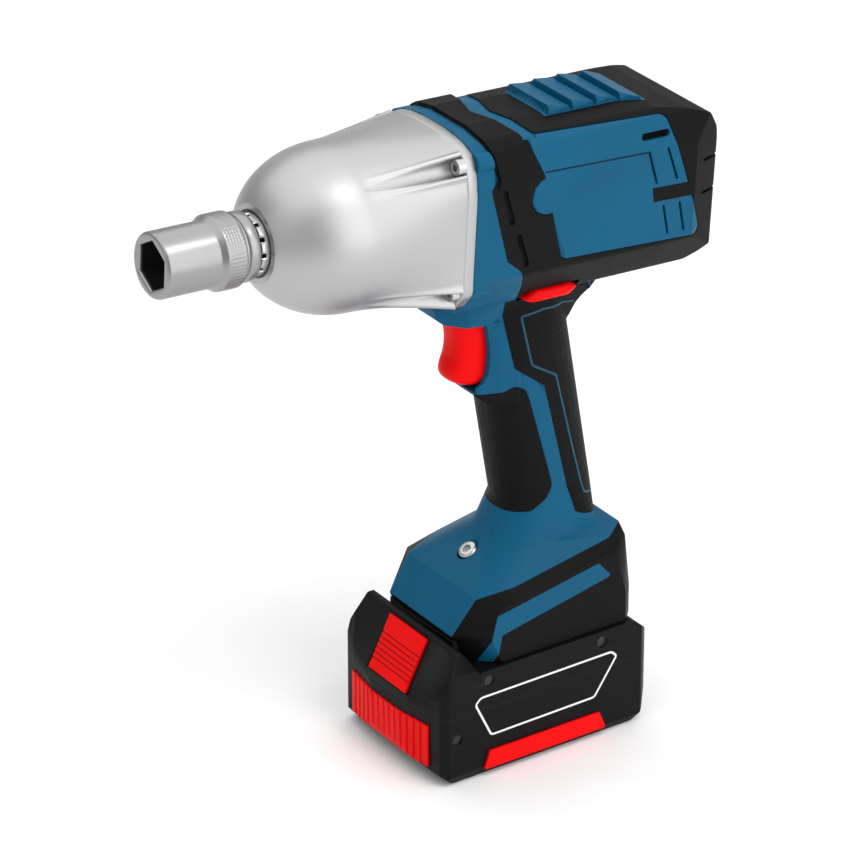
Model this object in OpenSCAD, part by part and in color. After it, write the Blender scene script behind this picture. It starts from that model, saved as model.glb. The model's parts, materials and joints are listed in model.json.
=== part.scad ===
// Cordless impact wrench with a half-inch square drive, a hexagon socket and a slide-on battery pack.
// The origin is the centre of the pack's flat base. The nose points to -X and +Z is up.

/* [Drive line] */
// Distance of the case joint ahead of the base centre
joint_x = 33.5; // [31:0.5:36]
// Height of the drive axis above the base at the case joint
axis_h = 257.4; // [256:0.2:260]
// Tilt of the drive axis, nose up, in degrees
nose_up = 3.2; // [2.6:0.1:3.8]

/* [Hammer case] */
// Radius of the round barrel
case_r = 36; // [35:0.5:37]
// Length from the joint to the front rim
case_len = 87.5; // [87:0.5:92]
// Length of the domed nose, along its ellipse's half axis
dome_len = 41.7; // [40.5:0.1:43]
// Wall of the barrel
case_wall = 4; // [3:0.5:5]
// Thickness of the flange
flange_t = 5; // [4:0.5:7]
// Depth of the flange's lower edge below the drive axis
flange_low = 36.5; // [35:0.5:38]
// Spacing of the four case screws
screw_pitch = 56; // [54:0.5:58]

/* [Drive and socket] */
// Width of the square drive across its flats
square = 12.7; // [9.5:0.1:13]
// Radius of the anvil's shaft
anvil_r = 11; // [10:0.1:11.8]
// Width across the flats of the socket's hexagon
hex_af = 19; // [13:0.5:20]
// Length of the socket
socket_len = 43.5; // [37:0.5:50]
// Radius of the socket's front
socket_r = 14; // [13.5:0.1:15]
// Radius of the socket's rear
socket_rear_r = 16; // [15:0.1:17]

/* [Impact mechanism] */
// Radius of the hammer
hammer_r = 29.5; // [27:0.5:31]
// Length of the hammer's body
hammer_len = 25.5; // [23:0.5:28]
// How far the hammer cams back
hammer_travel = 8; // [5:0.5:9]
// Radius of the spindle's shaft
spindle_r = 9; // [8:0.1:9.6]
// Radius of the two cam balls
ball_r = 3; // [2.5:0.1:3.4]
// Wire radius of the hammer spring
spring_wire = 1.9; // [1.5:0.1:2.2]
// Radius of the hammer spring, to the middle of its wire
spring_r = 17; // [15.5:0.1:18]

/* [Gears] */
// Tooth module of the planetary stage
gear_module = 1; // [0.9:0.02:1.06]
// Teeth on the motor pinion
sun_teeth = 9; // [9:3:12]
// Teeth on each planet gear
planet_teeth = 21; // [18:3:21]
// Width of the planet gears
planet_w = 7; // [6:0.5:8]

/* [Motor] */
// Radius of the motor can
motor_r = 26; // [24:0.5:27]
// Length of the motor can
motor_len = 56; // [50:1:58]
// Radius of the rotor's shaft
shaft_r = 4; // [3:0.1:4.2]
// Number of cooling fan blades
fan_blades = 15; // [11:1:21]

/* [Housing] */
// Width of the motor housing
body_w = 66; // [64:1:72]
// Height of the housing's top above the drive axis
body_top = 36.5; // [35.5:0.5:39]
// Depth of the housing's underside below the drive axis
body_bottom = 42; // [41:0.5:44]
// Length of the housing behind the case joint
body_len = 130; // [127:1:139]
// Thickness of the soft overmoulds
skin = 1.8; // [1.2:0.1:2.4]
// Wall of the handle
handle_wall = 3.2; // [2.4:0.1:4]
// Number of louvres on the top
louvres = 4; // [3:1:6]

/* [Handle and foot] */
// Depth of the handle from front to back
handle_d = 45; // [42:0.5:48]
// Width of the handle
handle_w = 34; // [32:0.5:38]
// Lean of the handle, top forward, in degrees
handle_lean = 9.6; // [8:0.2:11]
// Position of the handle's centre at half height
handle_x = 17.5; // [16:0.5:19]
// Height of that centre above the base
handle_z = 142; // [138:1:146]
// Width of the foot
foot_w = 70; // [66:1:76]
// Distance from the base centre to the foot's front edge
foot_front = 40.5; // [39:0.5:43]
// Distance from the base centre to the foot's rear
foot_rear = 51; // [49:0.5:54]

/* [Controls] */
// Width of the trigger
trigger_w = 18; // [15:0.5:19]
// How far the trigger pulls
trigger_travel = 6; // [4:0.5:6.5]
// Length of the direction switch
switch_l = 28; // [22:1:30]
// Height of the direction switch
switch_h = 5.6; // [4.6:0.2:6]
// How far the direction switch moves to each side
switch_travel = 3; // [2:0.5:4]

/* [Battery pack] */
// Length of the pack
pack_l = 115; // [112:1:122]
// Width of the pack
pack_w = 76; // [74:1:82]
// Height of the pack's body
pack_h = 51; // [50:0.5:53]
// Height of the parting line between the pack's two shells
parting_h = 33; // [30:0.5:36]
// Wall of the pack's shells
pack_wall = 3; // [2.4:0.1:3.4]
// Radius of a cell
cell_r = 9.2; // [8.8:0.1:9.3]
// Room between the end of a cell and the pack's wall
cell_room = 2.5; // [1.5:0.1:4]
// Width of the release button
button_w = 28; // [24:0.5:30]
// How far the release button goes in
button_travel = 2.4; // [1.5:0.1:2.6]

/* [Clearances] */
// Radial gap of a running fit
run_gap = 0.05; // [0.03:0.01:0.09]
// Gap between parts that slide past each other
slide_gap = 0.35; // [0.3:0.05:0.5]
// Gap round a screw in its hole
screw_gap = 0.05; // [0.02:0.01:0.1]

/* [Hidden] */
$fn = 64;
blue = [0.08, 0.33, 0.5];
black = [0.09, 0.09, 0.1];
red = [0.85, 0.09, 0.09];
steel = [0.72, 0.73, 0.75];
cast = [0.78, 0.79, 0.8];
far = 200;

// The housing's section across the drive axis, as half of a mirrored outline
section_half = [
  [12, body_top], [24, body_top - 2.5], [29.5, body_top - 6], [body_w / 2, body_top - 18.5],
  [body_w / 2, -body_bottom + 17], [21, -body_bottom]
];
// The case flange, as half of a mirrored outline
flange_half = [
  [12, body_top], [24, body_top - 2.5], [29.5, body_top - 6], [body_w / 2, body_top - 18.5],
  [body_w / 2, -flange_low + 8], [body_w / 2 - 6.5, -flange_low]
];
// The housing's outline seen from the side and from above, reaching past its front
tail_side = [
  [-10, 60], [body_len - 113, body_top + 8.5], [body_len - 21, body_top - 4.6], [body_len - 10, 29],
  [body_len - 4.5, 21], [body_len - 2, 9], [body_len, -3], [body_len, -29],
  [body_len - 7, -37], [body_len - 16, -body_bottom - 1], [body_len - 24, -60], [-10, -60]
];
function top_at(x) = body_top + min(0, 8.5 - 13.1 * (x - body_len + 113) / 92);
tail_plan_half = [[-10, 60], [body_len - 85, 60], [body_len - 3, 27], [body_len, 20]];

// Places along the drive axis, counted rearwards from the case joint
dome_x = -case_len + dome_len * 0.8873;
socket_back = -case_len - 4.5;
collar_front = socket_back + 0.9;
wing_front = -case_len + 22;
wing_t = 7;
hammer_front = wing_front + wing_t + 0.6;
hammer_back = hammer_front + hammer_len;
planet_front = -8.5;
cheek_front = planet_front - 5.5;
cheek_back = planet_front + planet_w + 0.5;
boss_back = cheek_back + 9;
plate_back = boss_back + 5;
front_bearing_back = plate_back + 6;
fan_front = front_bearing_back + 2;
fan_back = fan_front + 9;
motor_front = fan_back + 4;
motor_back = motor_front + motor_len;
brush_back = motor_back + 11;
rear_bearing_back = brush_back + 7;

// Radii on the drive axis
neck_r = case_r * sqrt(1 - pow((case_len + dome_x) / dome_len, 2));
case_bore = case_r - case_wall;
bush_r = anvil_r + 3.2;
pilot_r = spindle_r - 3;
ring_teeth = sun_teeth + 2 * planet_teeth;
planet_orbit = gear_module * (sun_teeth + planet_teeth) / 2;
pin_r = 3;
cheek_r = planet_orbit + pin_r + 4;
boss_r = gear_module * sun_teeth / 2 + 5.5;
bearing_r = boss_r + 5;
plate_r = case_bore - 3;
bay_r = motor_r + run_gap;
shaft_bearing_r = shaft_r + 5.5;
screw_r = 2;
screw_head_r = 3.4;

// Heights and places of the foot and the pack, from the pack's base
foot_low = pack_h;
tongue_top = pack_h + 11;
tongue_w = 48;
tongue_front = -foot_front + 2;
tongue_back = foot_rear - 8;
rail_in = 5;
rail_low = pack_h + 3;
rail_high = pack_h + 6.5;
tower_top = foot_low + 11;
trigger_top = axis_h - 58.4;
grip_x = handle_x - tan(handle_lean) * (trigger_top - handle_z);
handle_up = (trigger_top + 12 - handle_z) / cos(handle_lean);
handle_down = (foot_low + 51.6 - handle_z) / cos(handle_lean);
trigger_rear = grip_x - 9.9;
trigger_low = trigger_top - 29;
switch_front = trigger_rear + trigger_travel + 3;
switch_top = trigger_top - 1;
stem_z = trigger_top - 11;
switch_x = 47;
switch_z = -body_bottom + 1.3;

// Length of a cell, and how far the cells sit behind the pack's middle
cell_l = pack_w - 2 * (pack_wall + cell_room);
cell_shift = 3;

// Depths under the pack's sloped face of the button's back and of its pocket's floor
button_back = 2.6;
button_pocket = button_back + button_travel + 3;

// Outline helpers
function unit(v) = v / norm(v);
function total(v, k = 0) = k < len(v) ? v[k] + total(v, k + 1) : 0;
function turn(p) = total([for (k = [0:len(p) - 1]) cross(p[k], p[(k + 1) % len(p)])]);
function mirrored(half) = concat(half, [for (k = [len(half) - 1:-1:0]) [-half[k][0], half[k][1]]]);
function mirrored_y(half) = concat(half, [for (k = [len(half) - 1:-1:0]) [half[k][0], -half[k][1]]]);

// An outline moved inwards by d on every side
function inset(pts, d) =
  let (n = len(pts), s = turn(pts) > 0 ? 1 : -1)
  [for (k = [0:n - 1])
    let (e1 = unit(pts[k] - pts[(k + n - 1) % n]), e2 = unit(pts[(k + 1) % n] - pts[k]))
    let (n1 = s * [e1[1], -e1[0]], n2 = s * [e2[1], -e2[0]])
    pts[k] - d * (n1 + n2) / (1 + n1 * n2)];

// One corner b of an outline as an arc of radius r in n steps
function corner_arc(a, b, c, r, n) = norm(unit(a - b) + unit(c - b)) < 0.001 ? [b] :
  let (u = unit(a - b), v = unit(c - b), half = acos(u * v) / 2, o = b + unit(u + v) * r / sin(half))
  let (p = unit(b + u * r / tan(half) - o), q = unit(b + v * r / tan(half) - o))
  [for (k = [0:n]) o + r * unit(p * (n - k) / n + q * k / n)];
function rounded(pts, r, n = 4) =
  let (m = len(pts))
  [for (k = [0:m - 1]) each corner_arc(pts[(k + m - 1) % m], pts[k], pts[(k + 1) % m], r, n)];

// A flattened oval with half axes a and b
function power(c, e) = sign(c) * pow(abs(c), e);
function oval(a, b, n = 40) =
  [for (k = [0:n - 1]) [a * power(cos(360 * k / n), 0.84), b * power(sin(360 * k / n), 0.84)]];

// Frames and basic solids
module drive() translate([-joint_x, 0, axis_h]) rotate([0, nose_up, 0]) children();
module rod(r, x0, x1) translate([x0, 0, 0]) rotate([0, 90, 0]) cylinder(r = r, h = x1 - x0);
module tube(r_out, r_in, x0, x1) difference() {
  rod(r_out, x0, x1);
  rod(r_in, x0 - 1, x1 + 1);
}
module turned(pts) rotate([0, 90, 0]) rotate_extrude() polygon(pts);
module along_x(x0, x1) translate([x0, 0, 0]) rotate([90, 0, 90]) linear_extrude(x1 - x0) children();
module across(w) rotate([90, 0, 0]) linear_extrude(w, center = true) children();
module block(x0, x1, w, z0, z1) translate([x0, -w / 2, z0]) cube([x1 - x0, w, z1 - z0]);
module half(side) translate([-far * 2, side > 0 ? 0 : -far, -far]) cube([far * 4, far, far * 4]);

// A round wire wound on a helix along X, as one closed tube
module coil(r, wire, x0, x1, turns) {
  rings = turns * 8;
  sides = 6;
  pitch = (x1 - x0 - 2 * wire) / turns;
  echo("spring gap", pitch - 2 * wire);
  pts = [for (k = [0:rings], s = [0:sides - 1])
    let (a = 45 * k, w = 360 * s / sides, q = r + wire * cos(w))
    [x0 + wire + pitch * k / 8 + wire * sin(w), q * cos(a), q * sin(a)]];
  walls = [for (k = [0:rings - 1], s = [0:sides - 1], h = [0, 1])
    let (i = k * sides + s, j = k * sides + (s + 1) % sides)
    h == 0 ? [i, j, j + sides] : [i, j + sides, i + sides]];
  last = rings * sides;
  caps = [for (s = [1:sides - 2]) each [[0, s + 1, s], [last, last + s, last + s + 1]]];
  polyhedron(pts, concat(walls, caps));
}

// The outside of the housing, moved inwards by i: barrel, yoke, handle and foot
module barrel(i) drive() intersection() {
  along_x(0, body_len) polygon(rounded(inset(mirrored(section_half), i), 5));
  across(far) polygon(rounded(inset(tail_side, i), 4));
  translate([0, 0, -far / 2]) linear_extrude(far) polygon(rounded(inset(mirrored_y(tail_plan_half), i), 4));
}
yoke_side = concat(
  [for (p = [[1, 29], [-3, 12.5], [-2.2, 8], [0.6, 5.6]]) p + [-joint_x, trigger_top]],
  [for (p = [[-20, 1.4], [0, 0.6], [6, -15], [21.7, -15], [22.2, -7], [24.4, 0], [28.6, 6], [36, 10.5], [48, 13],
    [54, 29]]) p + [grip_x, trigger_top]]
);
yoke_plan = mirrored_y([[-42, 3], [-37, 6], [-24, 14], [-12, 19], [24, 19], [44, 13], [66, 9]]);
module yoke(i) intersection() {
  across(far) polygon(rounded(inset(yoke_side, i), 2));
  linear_extrude(far * 2) polygon(rounded(inset(yoke_plan, i), 5));
  translate([-far, 0, 0]) along_x(0, far * 2) polygon(inset(mirrored(
    [[19.5, trigger_top + 29], [19, trigger_top + 14], [13, trigger_top + 3], [10, trigger_top - 6],
      [4, trigger_top - 18]]), i));
}
// The cheeks on both sides of the trigger and the lip below it
cheek_side = [for (p = [[-11.5, 2.5], [-10.3, -6], [-9.8, -12], [-10.4, -21], [-12.5, -25.5], [-16.5, -28.5],
  [-15.5, -31.5], [-11, -35.5], [3, -37], [6, 2.5]]) p + [trigger_rear, trigger_top]];
cheek_plan = mirrored_y([for (p = [[-18, 6], [-14, 11], [-6, 14], [5, 16.5]]) p + [trigger_rear, 0]]);
module cheeks(i) intersection() {
  across(far) polygon(rounded(inset(cheek_side, i), 1));
  linear_extrude(far * 2) polygon(rounded(inset(cheek_plan, i), 2));
}
module handle(i, z0, z1) translate([handle_x, 0, handle_z]) rotate([0, -handle_lean, 0])
  translate([0, 0, z0]) linear_extrude(z1 - z0) polygon(oval(handle_d / 2 - i, handle_w / 2 - i));
rim_lean = 10.2;
rim_x = -foot_front + 12.3;
rim_z = foot_low + 29;
module foot_slab(i, x0, y0, z) translate([0, 0, z]) linear_extrude(0.2) polygon(inset(mirrored_y([
  [x0, y0], [x0 + 13, foot_w / 2], [foot_rear - 6, foot_w / 2], [foot_rear, foot_w / 2 - 6]]), i));
module rim_slab(i, x, y0, y1, z) translate([x, 0, z - i]) rotate([0, -rim_lean, 0]) translate([0, 0, -0.2])
  linear_extrude(0.2) polygon(inset(mirrored_y([[0, y0], [18, y1], [(foot_rear - x - 12) / cos(rim_lean), y1],
    [(foot_rear - x - 2) / cos(rim_lean), y1 - 7]]), i));
module foot_rim(i) rim_slab(i, rim_x, 25.2, foot_w / 2 - 5, rim_z);
module foot_block(i) hull() {
  foot_slab(i, -foot_front + 7.5, 23.4, foot_low);
  foot_slab(i, -foot_front + 1.3, 23.4, foot_low + 13.6);
  rim_slab(i, rim_x + 6, foot_w / 2 - 0.1, foot_w / 2, rim_z - 3.5);
  foot_rim(i);
}
module ankle(i) translate([handle_x + 3, 0, foot_low + 42])
  linear_extrude(1) polygon(oval(handle_d / 2 + 4 - i, handle_w / 2 + 5 - i));
module foot(i) {
  foot_block(i);
  hull() {
    foot_rim(i);
    ankle(i);
  }
  hull() {
    ankle(i);
    handle(i, handle_down + 10, handle_down + 11);
  }
}
module body(i) {
  barrel(i);
  yoke(i);
  cheeks(i);
  handle(i, handle_down, handle_up);
  foot(i);
}

// Where each soft overmould covers the body, as prisms through its whole width
panel_rear = body_len - 12.5;
panel = [
  [26.5, body_top - 2.9], [panel_rear - 21, body_top - 4.8], [panel_rear - 16, body_top - 18.5], [panel_rear, -24.5],
  [44.5, -21.5], [33, 19]
];
badge = [36, 8.8];
badge_r = 8.3;
module stripe_zone() drive() translate([0, 0, body_top - 8]) linear_extrude(40)
  polygon([[17, 0], [25, 26], [33, 26], [27, 0], [33, -26], [25, -26]]);
module body_overmould_zone(gap = 0) difference() {
  drive() difference() {
    across(far) difference() {
      polygon([[0.7, 60], [9.5, 20.8], [6.5, 16.3], [16.5, -17], [23.5, -22.5], [28, -32], [30, -39.5],
        [30.5, -body_bottom - 0.4], [72.5, -body_bottom - 0.4], [80.5, -60], [body_len + 20, -60],
        [body_len + 20, 60]]);
      polygon(rounded(inset(panel, -gap), 3));
      translate(badge) circle(badge_r + gap);
    }
    translate([44.5, -15, body_top - 8]) cube([body_len - 78, 30, 40]);
  }
  stripe_zone();
}
module band_zone() difference() {
  drive() across(far) polygon([[1.7, 60], [10.5, 21], [9.5, 17], [25, 14], [25, 60]]);
  stripe_zone();
}
module panel_bar_zone() drive() across(far)
  polygon([for (p = [[-28, 1.4], [1, 0.5], [3, -6], [-27, -5.2]]) p + [panel_rear, 0]]);
// Narrow grooves: in the panel, and in the overmould ahead of it and behind it
module groove(a, b, w = 1.2) {
  n = [a[1] - b[1], b[0] - a[0]] / norm(b - a) * w / 2;
  polygon([a + n, b + n, b - n, a - n]);
  translate(a) circle(w / 2, $fn = 24);
  translate(b) circle(w / 2, $fn = 24);
}
module panel_grooves() drive() across(far) {
  groove([panel_rear - 31, 18], [panel_rear - 26, 3.5]);
  groove([panel_rear - 21, 18], [panel_rear - 15.4, 3.5]);
  groove([panel_rear - 21.5, -8], [panel_rear - 18.5, -20.7]);
  groove([panel_rear - 13.1, -8], [panel_rear - 10.1, -20.7]);
  groove([panel_rear - 32.5, 24.5], [panel_rear - 21.1, 24.5], 3.2);
}
module skin_grooves() drive() across(far) {
  groove([13.4, 14], [17.8, 0.4], 2.8);
  groove([21.7, -7], [26.2, -20], 2.8);
  groove([body_len - 12, 8], [body_len + 3, 7.4], 1.6);
  groove([body_len - 12, -7], [body_len + 3, -7.6], 1.6);
}
module front_grip_zone() across(far) polygon(rounded(concat(
  [for (p = [[-48, -1.7], [-13.9, -1.7], [-8.9, 0.3], [-3.9, -2.7], [-1.9, -8]]) p + [grip_x, trigger_low]],
  [for (p = [[0.5, 67], [-2.5, 61], [-9.5, 56.5], [-18.5, 55.5], [-57, 59]]) p + [handle_x, foot_low]]), 4));
module rear_grip_zone() across(far) polygon(rounded(concat(
  [for (p = [[-17, 56 - body_bottom], [-9.4, -20.5], [5.1, -32]]) p + [grip_x, trigger_top]],
  [for (p = [[11, 52], [14.5, 50], [29, 44], [53, 46]]) p + [handle_x, foot_low]],
  [for (p = [[34.8, -6], [28, 53.6 - body_bottom]]) p + [grip_x, trigger_top]]), 0.5));
module foot_bumper_zone() across(far) difference() {
  polygon([[rim_x + 0.3, rim_z - 0.2], [rim_x + 90, rim_z - 0.2 + 90 * tan(rim_lean)], [rim_x + 90, foot_low - 9],
    [-foot_front + 0.5, foot_low - 9], [-foot_front + 1.6, foot_low + 13.6]]);
  polygon(rounded([[-23, foot_low + 23.3], [30, foot_low + 33], [37, foot_low + 25], [-20.3, foot_low + 13.4],
    [-24, foot_low - 4], [-29.4, foot_low - 4]], 1));
}

// What the housing halves leave free inside
screw_places = [
  [-joint_x + 10.5, trigger_top + 11], [handle_x + 7.5, foot_low + 48], [-foot_front + 17.5, foot_low + 21],
  [foot_rear - 6, foot_low + 23]
];
foot_screw_x = -14.5;
tail_screws = [[body_len - 14, 18], [body_len - 14, -28]];
module housing_hollow() {
  drive() {
    rod(plate_r + run_gap, -1, front_bearing_back);
    rod(bay_r, 0, brush_back);
    rod(shaft_bearing_r + run_gap, brush_back - 1, rear_bearing_back + 0.3);
    for (y = [-1, 1], z = [-1, 1])
      translate([0, y * screw_pitch / 2, z * screw_pitch / 2]) rod(screw_r + screw_gap, -1, 14);
    translate([switch_x, 0, switch_z]) cube(
      [switch_l + 2 * slide_gap, far, switch_h + 2 * slide_gap], center = true);
  }
  difference() {
    intersection() {
      handle(handle_wall, handle_down + 3, handle_up - 10);
      block(-far, far, far, 0, switch_top);
    }
    for (p = screw_places) translate([p[0], 0, p[1]]) rotate([90, 0, 0]) cylinder(r = 5, h = far, center = true);
  }
  across(trigger_w + 2 * slide_gap) polygon([
    [trigger_rear - 27, trigger_low - 1], [switch_front, trigger_low - 1], [switch_front, trigger_top - 0.2],
    [trigger_rear, trigger_top - 0.2], [trigger_rear - 27, trigger_top + 6.3]
  ]);
  difference() {
    block(-far, tongue_back + slide_gap, tongue_w + 2 * slide_gap, foot_low - 1, tongue_top + slide_gap);
    for (s = [-1, 1]) translate([0, s * (tongue_w / 2 + 5 - rail_in + slide_gap), 0])
      block(-foot_front + 12, tongue_back + 1, 10, rail_low + slide_gap, rail_high - slide_gap);
  }
  block(2, 38, 38, tongue_top, tongue_top + 14);
  translate([foot_screw_x, 0, foot_low + 19]) cylinder(r = screw_r + screw_gap, h = 40);
  translate([foot_screw_x, 0, foot_low + 33.5]) cylinder(r = 4.4 + screw_gap, h = 12);
}
module screw_bores() {
  for (p = screw_places) translate([p[0], 0, p[1]]) housing_screw(screw_gap, foot_w);
  drive() for (p = tail_screws) translate([p[0], 0, p[1]]) housing_screw(screw_gap, foot_w);
}
// A screw that enters from the right side, its head sunk below the skin
module housing_screw(gap, head_l) rotate([90, 0, 0]) {
  translate([0, 0, -9]) cylinder(r = 1.5 + gap, h = 17 + gap);
  translate([0, 0, -9 - head_l]) cylinder(r = 3 + gap, h = head_l);
}
module housing_half(side) color(blue) intersection() {
  half(side);
  difference() {
    union() {
      body(0);
      drive() for (k = [0:louvres - 1]) louvre(46 + k * (body_len - 81) / louvres, (body_len - 81) / louvres);
      drive() for (y = [-1, 1], z = [-1, 1])
        translate([0, y * screw_pitch / 2, z * screw_pitch / 2]) rod(screw_head_r + 0.8, 0, 10);
    }
    difference() {
      union() {
        body_overmould_zone();
        panel_bar_zone();
        panel_grooves();
        front_grip_zone();
        rear_grip_zone();
        foot_bumper_zone();
      }
      body(skin);
    }
    difference() {
      stripe_zone();
      barrel(0.6);
    }
    housing_hollow();
    screw_bores();
  }
}
// One raised slat on the top, stepped up at its front and rounded off at its ends
module louvre(x, pitch) intersection() {
  across(30) polygon([[x, body_top - 6], [x + 0.6, top_at(x) + 3.4], [x + pitch - 1.1, top_at(x + pitch) + 1.4],
    [x + pitch - 0.8, body_top - 6]]);
  along_x(x, x + pitch)
    polygon(mirrored([[14.9, body_top - 6], [14.9, top_at(x) + 1.8], [13.4, top_at(x) + 3.4]]));
}
module overmould(side) color(black) intersection() {
  half(side);
  difference() {
    intersection() {
      body(0);
      children();
    }
    body(skin);
    housing_hollow();
    screw_bores();
  }
}
// The overmould of the barrel, raised to a band behind the case
band_rise = 1.6;
module barrel_overmould(side) color(black) {
  overmould(side) difference() {
    union() {
      body_overmould_zone(0.4);
      panel_bar_zone();
    }
    difference() {
      skin_grooves();
      barrel(skin * 0.75);
    }
  }
  intersection() {
    half(side);
    difference() {
      barrel(-band_rise);
      barrel(skin / 2);
      housing_hollow();
    }
    band_zone();
  }
}
module left_housing() housing_half(-1);
module right_housing() housing_half(1);
module left_body_overmould() barrel_overmould(-1);
module right_body_overmould() barrel_overmould(1);
module left_front_grip() overmould(-1) front_grip_zone();
module right_front_grip() overmould(1) front_grip_zone();
module left_rear_grip() overmould(-1) rear_grip_zone();
module right_rear_grip() overmould(1) rear_grip_zone();
module left_foot_bumper() overmould(-1) foot_bumper_zone();
module right_foot_bumper() overmould(1) foot_bumper_zone();
module housing_screws() color(steel) {
  for (p = screw_places) translate([p[0], 0, p[1]]) housing_screw(0, 3);
  drive() for (p = tail_screws) translate([p[0], 0, p[1]]) housing_screw(0, 3);
}
module foot_screw() color(steel) translate([foot_screw_x, 0, foot_low + 19.5]) difference() {
  union() {
    cylinder(r = screw_r, h = 15);
    translate([0, 0, 14]) cylinder(r = 4.4, h = 3);
  }
  translate([0, 0, 15.5]) cylinder(r = 1.9, h = 3, $fn = 6);
}

// Hammer case: a domed nose on a barrel that widens into a squarish flange
module flange_outline() {
  polygon(rounded(mirrored(flange_half), 5));
  for (y = [-1, 1], z = [-1, 1])
    translate([y * screw_pitch / 2, z * screw_pitch / 2]) circle(screw_head_r + 0.8);
}
dome_steps = 14;
dome_end = acos(neck_r / case_r);
module hammer_case() color(cast) drive() difference() {
  union() {
    turned(concat([[0, dome_x + 8], [case_r, dome_x + 8]],
      [for (k = [0:dome_steps]) let (a = dome_end * k / dome_steps)
        [case_r * cos(a), dome_x - dome_len * sin(a)]], [[0, -case_len]]));
    hull() {
      rod(case_r, dome_x, dome_x + 8, $fn = 48);
      along_x(-flange_t - 1, -flange_t) polygon(rounded(inset(mirrored(flange_half), 1), 5, 3));
    }
    along_x(-flange_t, 0) flange_outline();
    for (y = [-1, 1], z = [-1, 1]) hull() {
      translate([-flange_t, y * screw_pitch / 2, z * screw_pitch / 2]) rod(screw_head_r + 0.8, -1, 0, $fn = 24);
      translate([dome_x + 14, y * case_r * 0.64, z * case_r * 0.64]) rod(1.5, -1, 0, $fn = 12);
    }
  }
  turned([[0, 1], [case_bore, 1], [case_bore, hammer_front + 4], [hammer_r + 1, hammer_front - 1],
    [hammer_r - 1.5, wing_front - 2], [0, wing_front - 2]]);
  rod(bush_r, -case_len - 1, wing_front);
  for (y = [-1, 1], z = [-1, 1]) translate([0, y * screw_pitch / 2, z * screw_pitch / 2]) {
    rod(screw_r + screw_gap, -far, 1);
    rod(screw_head_r + 0.3, -far, -flange_t);
  }
}
module case_screws() color(steel) drive() for (y = [-1, 1], z = [-1, 1])
  translate([0, y * screw_pitch / 2, z * screw_pitch / 2]) {
    rod(screw_r, -flange_t - 1, 12);
    difference() {
      rod(screw_head_r, -flange_t - 4, -flange_t);
      rod(1.7, -flange_t - 5, -flange_t - 2, $fn = 6);
    }
  }
module nose_bush() color("peru") drive() tube(bush_r, anvil_r + run_gap, -case_len, wing_front - 0.3);
notches = 12;
module nose_collar() color([0.2, 0.2, 0.22]) drive() difference() {
  tube(anvil_r + 2.4, anvil_r + 0.5, collar_front, -case_len);
  for (k = [0:notches - 1]) rotate([360 * k / notches, 0, 0])
    translate([collar_front - 1, anvil_r + 1.6, -1.2]) cube([3.2, 10, 2.4]);
}

// Square drive, its wings and the ring that holds the socket
module anvil() color(steel) drive() difference() {
  union() {
    rod(anvil_r, socket_back + 0.3, wing_front);
    rod(anvil_r + 2, wing_front, wing_front + wing_t);
    along_x(wing_front, wing_front + wing_t) for (s = [0, 180]) rotate(s) wing(24);
    translate([socket_back - 8, 0, 0]) cube([18, square, square], center = true);
  }
  rod(pilot_r + run_gap, wing_front - 4, wing_front + wing_t + 1);
  tube(square, square * 0.44, socket_back - 14, socket_back - 11.5);
}
module wing(a) intersection() {
  circle(hammer_r - 3);
  polygon([[0, 0], far * [cos(a), sin(a)], far * [cos(a), -sin(a)]]);
}
module retainer_ring() color([0.15, 0.15, 0.16]) drive()
  tube(square * 0.5 + 0.05, square * 0.44, socket_back - 13.9, socket_back - 11.6);
module socket() color(steel) drive() difference() {
  turned([[0, socket_back], [socket_rear_r - 1.8, socket_back], [socket_rear_r - 1.2, socket_back - 0.6],
    [socket_rear_r - 1.2, socket_back - 5], [socket_rear_r - 2, socket_back - 5.4],
    [socket_rear_r - 2, socket_back - 6.8], [socket_rear_r, socket_back - 7.2], [socket_rear_r, socket_back - 16],
    [socket_r, socket_back - 18], [socket_r, socket_back - socket_len + 0.8],
    [socket_r - 0.8, socket_back - socket_len], [0, socket_back - socket_len]]);
  translate([socket_back - 8.5, 0, 0]) cube([19, square + 0.2, square + 0.2], center = true);
  tube(square * 0.62, 0.1, socket_back - 15, socket_back - 10.5);
  rotate([90, 0, 0]) rotate([0, 90, 0]) translate([0, 0, socket_back - socket_len - 1])
    cylinder(r = hex_af / sqrt(3), h = 18, $fn = 6);
}

// Hammer, spring, balls and spindle
module hammer() color([0.3, 0.3, 0.32]) drive() difference() {
  union() {
    rod(hammer_r, hammer_front, hammer_back);
    along_x(wing_front + 0.6, hammer_front + 1) for (s = [70, 250]) rotate(s) difference() {
      wing(24);
      circle(anvil_r + 3);
    }
  }
  rod(spindle_r + run_gap, hammer_front - 10, hammer_back + 1);
  tube(spring_r + spring_wire + 0.8, (spring_r - spring_wire) * cos(22.5) - 0.5,
    hammer_back - 13, hammer_back + 1);
  for (s = [-1, 1]) translate([0, 0, s * spindle_r])
    rod(ball_r + run_gap, ball_x - ball_r - hammer_travel - 0.4, ball_x + ball_r + 0.4);
}
ball_x = hammer_front + hammer_travel + 2 * ball_r + 1;
module cam_balls() color(steel) drive() for (s = [-1, 1]) translate([ball_x, 0, s * spindle_r]) sphere(ball_r);
module hammer_spring() color(steel) drive()
  coil(spring_r, spring_wire, hammer_back - 13, cheek_front, 5);
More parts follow.
